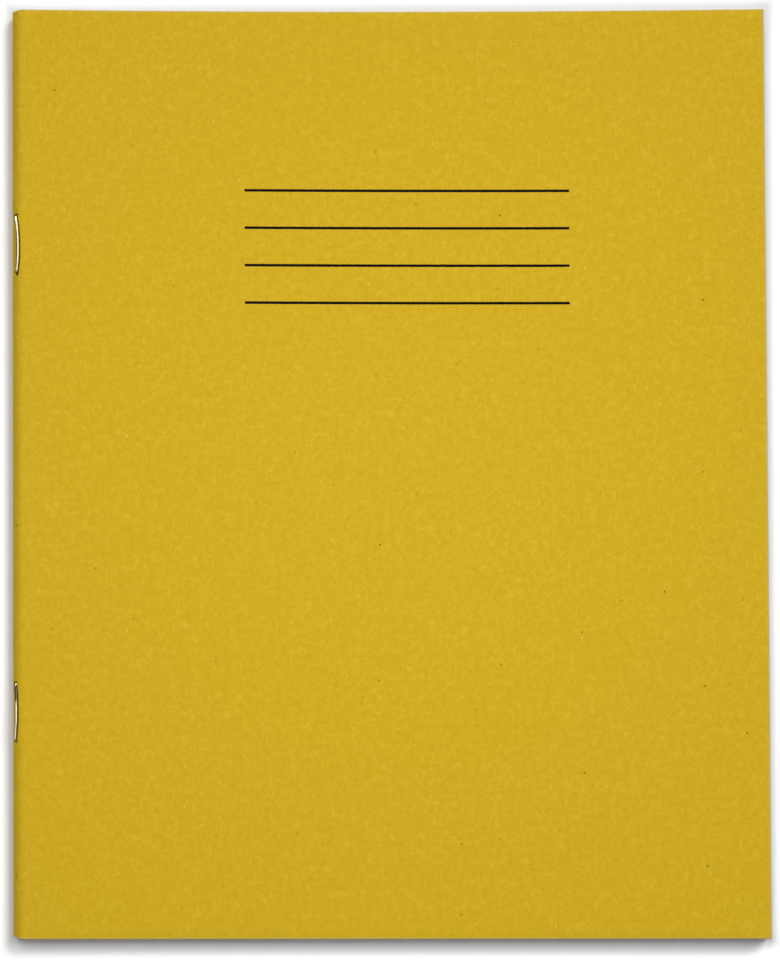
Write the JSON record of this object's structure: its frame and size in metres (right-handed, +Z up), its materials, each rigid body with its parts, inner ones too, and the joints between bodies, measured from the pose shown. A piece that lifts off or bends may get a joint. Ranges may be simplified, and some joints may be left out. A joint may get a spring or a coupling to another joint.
{
  "type": "stapled exercise book",
  "caption": "Thin school exercise book: nested folded writing sheets in a plain yellow card cover, held at the rounded spine by wire staples, with leaves and cover that open.",
  "frame": {"origin": "middle of the closed book's underside", "axes": "+Z up out of the front cover, +Y from the tail to the head, +X from the spine to the fore-edge"},
  "size_m": [0.165, 0.203, 0.005],
  "materials": {
    "manila_card": "matte",
    "writing_paper": "matte",
    "staple_wire": "satin"
  },
  "bodies": {
    "back": {"back_cover": "manila_card", "leaf_40": "writing_paper"},
    "leaf_01": {"leaf_01": "writing_paper"},
    "leaf_39": {"leaf_39": "writing_paper"},
    "leaf_02": {"leaf_02": "writing_paper"},
    "leaf_38": {"leaf_38": "writing_paper"},
    "leaf_03": {"leaf_03": "writing_paper"},
    "leaf_37": {"leaf_37": "writing_paper"},
    "leaf_04": {"leaf_04": "writing_paper"},
    "leaf_36": {"leaf_36": "writing_paper"},
    "leaf_05": {"leaf_05": "writing_paper"},
    "leaf_35": {"leaf_35": "writing_paper"},
    "leaf_06": {"leaf_06": "writing_paper"},
    "leaf_34": {"leaf_34": "writing_paper"},
    "leaf_07": {"leaf_07": "writing_paper"},
    "leaf_33": {"leaf_33": "writing_paper"},
    "leaf_08": {"leaf_08": "writing_paper"},
    "leaf_32": {"leaf_32": "writing_paper"},
    "leaf_09": {"leaf_09": "writing_paper"},
    "leaf_31": {"leaf_31": "writing_paper"},
    "leaf_10": {"leaf_10": "writing_paper"},
    "leaf_30": {"leaf_30": "writing_paper"},
    "leaf_11": {"leaf_11": "writing_paper"},
    "leaf_29": {"leaf_29": "writing_paper"},
    "leaf_12": {"leaf_12": "writing_paper"},
    "leaf_28": {"leaf_28": "writing_paper"},
    "leaf_13": {"leaf_13": "writing_paper"},
    "leaf_27": {"leaf_27": "writing_paper"},
    "leaf_14": {"leaf_14": "writing_paper"},
    "leaf_26": {"leaf_26": "writing_paper"},
    "leaf_15": {"leaf_15": "writing_paper"},
    "leaf_25": {"leaf_25": "writing_paper"},
    "leaf_16": {"leaf_16": "writing_paper"},
    "leaf_24": {"leaf_24": "writing_paper"},
    "leaf_17": {"leaf_17": "writing_paper"},
    "leaf_23": {"leaf_23": "writing_paper"},
    "leaf_18": {"leaf_18": "writing_paper"},
    "leaf_22": {"leaf_22": "writing_paper"},
    "leaf_19": {"leaf_19": "writing_paper"},
    "leaf_21": {"leaf_21": "writing_paper"},
    "leaf_20": {"leaf_20": "writing_paper"},
    "spine": {"cover_spine": "manila_card", "sheet_folds": "writing_paper", "upper_staple": "staple_wire", "lower_staple": "staple_wire"},
    "front": {"front_cover": "manila_card"}
  },
  "joints": [
    {"name": "open_at_centre", "type": "hinge", "parent": "back", "child": "leaf_01", "pos_m": [-0.08007, 0, 0.00243], "axis": [0, -1, 0], "range_deg": [0, 177.5], "deforming": ["cover_spine", "sheet_folds"]},
    {"name": "leaf_39_lift", "type": "hinge", "parent": "back", "child": "leaf_39", "pos_m": [-0.08007, 0, 0.00243], "axis": [0, -1, 0], "range_deg": [0, 0.576]},
    {"name": "leaf_02_turn", "type": "hinge", "parent": "leaf_39", "child": "leaf_02", "pos_m": [-0.08007, 0, 0.00243], "axis": [0, -1, 0], "range_deg": [0, 176.52]},
    {"name": "leaf_38_lift", "type": "hinge", "parent": "back", "child": "leaf_38", "pos_m": [-0.08007, 0, 0.00243], "axis": [0, -1, 0], "range_deg": [0, 1.1]},
    {"name": "leaf_03_turn", "type": "hinge", "parent": "leaf_38", "child": "leaf_03", "pos_m": [-0.08007, 0, 0.00243], "axis": [0, -1, 0], "range_deg": [0, 175.5]},
    {"name": "leaf_37_lift", "type": "hinge", "parent": "back", "child": "leaf_37", "pos_m": [-0.08007, 0, 0.00243], "axis": [0, -1, 0], "range_deg": [0, 1.63]},
    {"name": "leaf_04_turn", "type": "hinge", "parent": "leaf_37", "child": "leaf_04", "pos_m": [-0.08007, 0, 0.00243], "axis": [0, -1, 0], "range_deg": [0, 174.47]},
    {"name": "leaf_36_lift", "type": "hinge", "parent": "back", "child": "leaf_36", "pos_m": [-0.08007, 0, 0.00243], "axis": [0, -1, 0], "range_deg": [0, 2.15]},
    {"name": "leaf_05_turn", "type": "hinge", "parent": "leaf_36", "child": "leaf_05", "pos_m": [-0.08007, 0, 0.00243], "axis": [0, -1, 0], "range_deg": [0, 173.44]},
    {"name": "leaf_35_lift", "type": "hinge", "parent": "back", "child": "leaf_35", "pos_m": [-0.08007, 0, 0.00243], "axis": [0, -1, 0], "range_deg": [0, 2.68]},
    {"name": "leaf_06_turn", "type": "hinge", "parent": "leaf_35", "child": "leaf_06", "pos_m": [-0.08007, 0, 0.00243], "axis": [0, -1, 0], "range_deg": [0, 172.42]},
    {"name": "leaf_34_lift", "type": "hinge", "parent": "back", "child": "leaf_34", "pos_m": [-0.08007, 0, 0.00243], "axis": [0, -1, 0], "range_deg": [0, 3.21]},
    {"name": "leaf_07_turn", "type": "hinge", "parent": "leaf_34", "child": "leaf_07", "pos_m": [-0.08007, 0, 0.00243], "axis": [0, -1, 0], "range_deg": [0, 171.39]},
    {"name": "leaf_33_lift", "type": "hinge", "parent": "back", "child": "leaf_33", "pos_m": [-0.08007, 0, 0.00243], "axis": [0, -1, 0], "range_deg": [0, 3.73]},
    {"name": "leaf_08_turn", "type": "hinge", "parent": "leaf_33", "child": "leaf_08", "pos_m": [-0.08007, 0, 0.00243], "axis": [0, -1, 0], "range_deg": [0, 170.37]},
    {"name": "leaf_32_lift", "type": "hinge", "parent": "back", "child": "leaf_32", "pos_m": [-0.08007, 0, 0.00243], "axis": [0, -1, 0], "range_deg": [0, 4.26]},
    {"name": "leaf_09_turn", "type": "hinge", "parent": "leaf_32", "child": "leaf_09", "pos_m": [-0.08007, 0, 0.00243], "axis": [0, -1, 0], "range_deg": [0, 169.34]},
    {"name": "leaf_31_lift", "type": "hinge", "parent": "back", "child": "leaf_31", "pos_m": [-0.08007, 0, 0.00243], "axis": [0, -1, 0], "range_deg": [0, 4.79]},
    {"name": "leaf_10_turn", "type": "hinge", "parent": "leaf_31", "child": "leaf_10", "pos_m": [-0.08007, 0, 0.00243], "axis": [0, -1, 0], "range_deg": [0, 168.31]},
    {"name": "leaf_30_lift", "type": "hinge", "parent": "back", "child": "leaf_30", "pos_m": [-0.08007, 0, 0.00243], "axis": [0, -1, 0], "range_deg": [0, 5.31]},
    {"name": "leaf_11_turn", "type": "hinge", "parent": "leaf_30", "child": "leaf_11", "pos_m": [-0.08007, 0, 0.00243], "axis": [0, -1, 0], "range_deg": [0, 167.29]},
    {"name": "leaf_29_lift", "type": "hinge", "parent": "back", "child": "leaf_29", "pos_m": [-0.08007, 0, 0.00243], "axis": [0, -1, 0], "range_deg": [0, 5.84]},
    {"name": "leaf_12_turn", "type": "hinge", "parent": "leaf_29", "child": "leaf_12", "pos_m": [-0.08007, 0, 0.00243], "axis": [0, -1, 0], "range_deg": [0, 166.26]},
    {"name": "leaf_28_lift", "type": "hinge", "parent": "back", "child": "leaf_28", "pos_m": [-0.08007, 0, 0.00243], "axis": [0, -1, 0], "range_deg": [0, 6.37]},
    {"name": "leaf_13_turn", "type": "hinge", "parent": "leaf_28", "child": "leaf_13", "pos_m": [-0.08007, 0, 0.00243], "axis": [0, -1, 0], "range_deg": [0, 165.23]},
    {"name": "leaf_27_lift", "type": "hinge", "parent": "back", "child": "leaf_27", "pos_m": [-0.08007, 0, 0.00243], "axis": [0, -1, 0], "range_deg": [0, 6.89]},
    {"name": "leaf_14_turn", "type": "hinge", "parent": "leaf_27", "child": "leaf_14", "pos_m": [-0.08007, 0, 0.00243], "axis": [0, -1, 0], "range_deg": [0, 164.21]},
    {"name": "leaf_26_lift", "type": "hinge", "parent": "back", "child": "leaf_26", "pos_m": [-0.08007, 0, 0.00243], "axis": [0, -1, 0], "range_deg": [0, 7.42]},
    {"name": "leaf_15_turn", "type": "hinge", "parent": "leaf_26", "child": "leaf_15", "pos_m": [-0.08007, 0, 0.00243], "axis": [0, -1, 0], "range_deg": [0, 163.18]},
    {"name": "leaf_25_lift", "type": "hinge", "parent": "back", "child": "leaf_25", "pos_m": [-0.08007, 0, 0.00243], "axis": [0, -1, 0], "range_deg": [0, 7.95]},
    {"name": "leaf_16_turn", "type": "hinge", "parent": "leaf_25", "child": "leaf_16", "pos_m": [-0.08007, 0, 0.00243], "axis": [0, -1, 0], "range_deg": [0, 162.16]},
    {"name": "leaf_24_lift", "type": "hinge", "parent": "back", "child": "leaf_24", "pos_m": [-0.08007, 0, 0.00243], "axis": [0, -1, 0], "range_deg": [0, 8.47]},
    {"name": "leaf_17_turn", "type": "hinge", "parent": "leaf_24", "child": "leaf_17", "pos_m": [-0.08007, 0, 0.00243], "axis": [0, -1, 0], "range_deg": [0, 161.13]},
    {"name": "leaf_23_lift", "type": "hinge", "parent": "back", "child": "leaf_23", "pos_m": [-0.08007, 0, 0.00243], "axis": [0, -1, 0], "range_deg": [0, 9]},
    {"name": "leaf_18_turn", "type": "hinge", "parent": "leaf_23", "child": "leaf_18", "pos_m": [-0.08007, 0, 0.00243], "axis": [0, -1, 0], "range_deg": [0, 160.1]},
    {"name": "leaf_22_lift", "type": "hinge", "parent": "back", "child": "leaf_22", "pos_m": [-0.08007, 0, 0.00243], "axis": [0, -1, 0], "range_deg": [0, 9.52]},
    {"name": "leaf_19_turn", "type": "hinge", "parent": "leaf_22", "child": "leaf_19", "pos_m": [-0.08007, 0, 0.00243], "axis": [0, -1, 0], "range_deg": [0, 159.08]},
    {"name": "leaf_21_lift", "type": "hinge", "parent": "back", "child": "leaf_21", "pos_m": [-0.08007, 0, 0.00243], "axis": [0, -1, 0], "range_deg": [0, 10.05]},
    {"name": "leaf_20_turn", "type": "hinge", "parent": "leaf_21", "child": "leaf_20", "pos_m": [-0.08007, 0, 0.00243], "axis": [0, -1, 0], "range_deg": [0, 158.05]},
    {"name": "spine_roll", "type": "hinge", "parent": "back", "child": "spine", "pos_m": [-0.08007, 0, 0.00243], "axis": [0, -1, 0], "range_deg": [0, 143.05]},
    {"name": "front_cover_open", "type": "hinge", "parent": "leaf_01", "child": "front", "pos_m": [-0.07907, 0, 0.00511], "axis": [0, 1, 0], "range_deg": [-179.5, 0]}
  ],
  "couplings": [
    {"joint": "leaf_39_lift", "follows": "open_at_centre", "ratio": 0.002965},
    {"joint": "leaf_02_turn", "follows": "open_at_centre", "ratio": 0.99422},
    {"joint": "leaf_38_lift", "follows": "open_at_centre", "ratio": 0.00593},
    {"joint": "leaf_03_turn", "follows": "open_at_centre", "ratio": 0.98844},
    {"joint": "leaf_37_lift", "follows": "open_at_centre", "ratio": 0.008895},
    {"joint": "leaf_04_turn", "follows": "open_at_centre", "ratio": 0.98265},
    {"joint": "leaf_36_lift", "follows": "open_at_centre", "ratio": 0.011861},
    {"joint": "leaf_05_turn", "follows": "open_at_centre", "ratio": 0.97687},
    {"joint": "leaf_35_lift", "follows": "open_at_centre", "ratio": 0.014826},
    {"joint": "leaf_06_turn", "follows": "open_at_centre", "ratio": 0.97109},
    {"joint": "leaf_34_lift", "follows": "open_at_centre", "ratio": 0.017791},
    {"joint": "leaf_07_turn", "follows": "open_at_centre", "ratio": 0.96531},
    {"joint": "leaf_33_lift", "follows": "open_at_centre", "ratio": 0.020756},
    {"joint": "leaf_08_turn", "follows": "open_at_centre", "ratio": 0.95953},
    {"joint": "leaf_32_lift", "follows": "open_at_centre", "ratio": 0.023721},
    {"joint": "leaf_09_turn", "follows": "open_at_centre", "ratio": 0.95374},
    {"joint": "leaf_31_lift", "follows": "open_at_centre", "ratio": 0.026686},
    {"joint": "leaf_10_turn", "follows": "open_at_centre", "ratio": 0.94796},
    {"joint": "leaf_30_lift", "follows": "open_at_centre", "ratio": 0.029652},
    {"joint": "leaf_11_turn", "follows": "open_at_centre", "ratio": 0.94218},
    {"joint": "leaf_29_lift", "follows": "open_at_centre", "ratio": 0.032617},
    {"joint": "leaf_12_turn", "follows": "open_at_centre", "ratio": 0.9364},
    {"joint": "leaf_28_lift", "follows": "open_at_centre", "ratio": 0.035582},
    {"joint": "leaf_13_turn", "follows": "open_at_centre", "ratio": 0.93061},
    {"joint": "leaf_27_lift", "follows": "open_at_centre", "ratio": 0.038547},
    {"joint": "leaf_14_turn", "follows": "open_at_centre", "ratio": 0.92483},
    {"joint": "leaf_26_lift", "follows": "open_at_centre", "ratio": 0.041512},
    {"joint": "leaf_15_turn", "follows": "open_at_centre", "ratio": 0.91905},
    {"joint": "leaf_25_lift", "follows": "open_at_centre", "ratio": 0.044477},
    {"joint": "leaf_16_turn", "follows": "open_at_centre", "ratio": 0.91327},
    {"joint": "leaf_24_lift", "follows": "open_at_centre", "ratio": 0.047443},
    {"joint": "leaf_17_turn", "follows": "open_at_centre", "ratio": 0.90749},
    {"joint": "leaf_23_lift", "follows": "open_at_centre", "ratio": 0.050408},
    {"joint": "leaf_18_turn", "follows": "open_at_centre", "ratio": 0.9017},
    {"joint": "leaf_22_lift", "follows": "open_at_centre", "ratio": 0.053373},
    {"joint": "leaf_19_turn", "follows": "open_at_centre", "ratio": 0.89592},
    {"joint": "leaf_21_lift", "follows": "open_at_centre", "ratio": 0.056338},
    {"joint": "leaf_20_turn", "follows": "open_at_centre", "ratio": 0.89014},
    {"joint": "spine_roll", "follows": "open_at_centre", "ratio": 0.80563}
  ]
}
